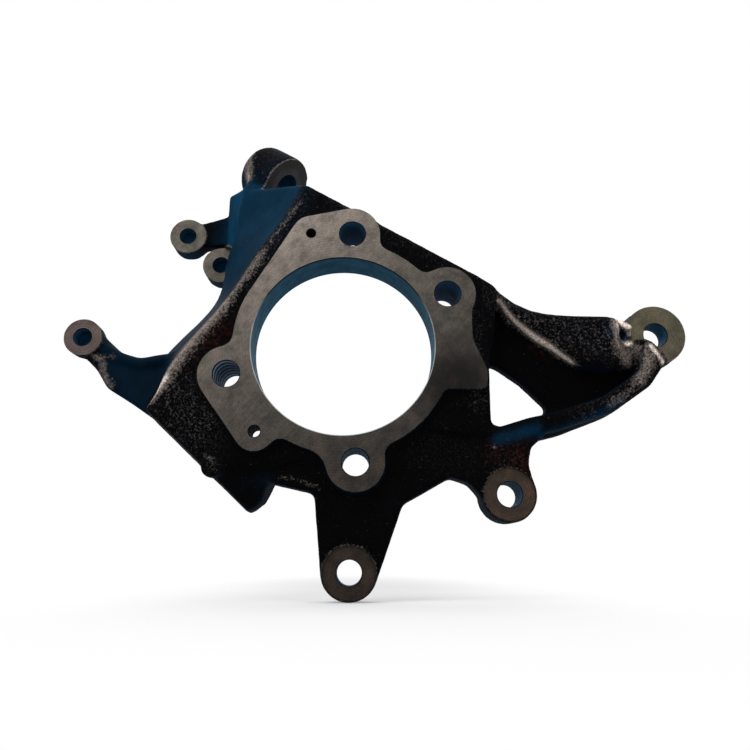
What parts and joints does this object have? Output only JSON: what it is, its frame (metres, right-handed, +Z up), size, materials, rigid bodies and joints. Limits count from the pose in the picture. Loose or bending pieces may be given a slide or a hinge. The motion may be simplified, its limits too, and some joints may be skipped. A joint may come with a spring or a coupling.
{
  "type": "steering knuckle",
  "caption": "Cast iron steering knuckle with a machined hub seat and bore, a link arm, caliper lugs, small bracket lugs and a slanted upper joint boss.",
  "frame": {"origin": "centre of the hub bore on the machined hub face", "axes": "+X towards the link arm, +Z up as the hub face is looked at, +Y from the hub face into the casting"},
  "size_m": [0.3156, 0.0635, 0.2523],
  "materials": {
    "cast_iron_body": "black coated cast skin, bare machined faces"
  },
  "bodies": {
    "root": {"knuckle_casting": "cast_iron_body"}
  },
  "joints": []
}
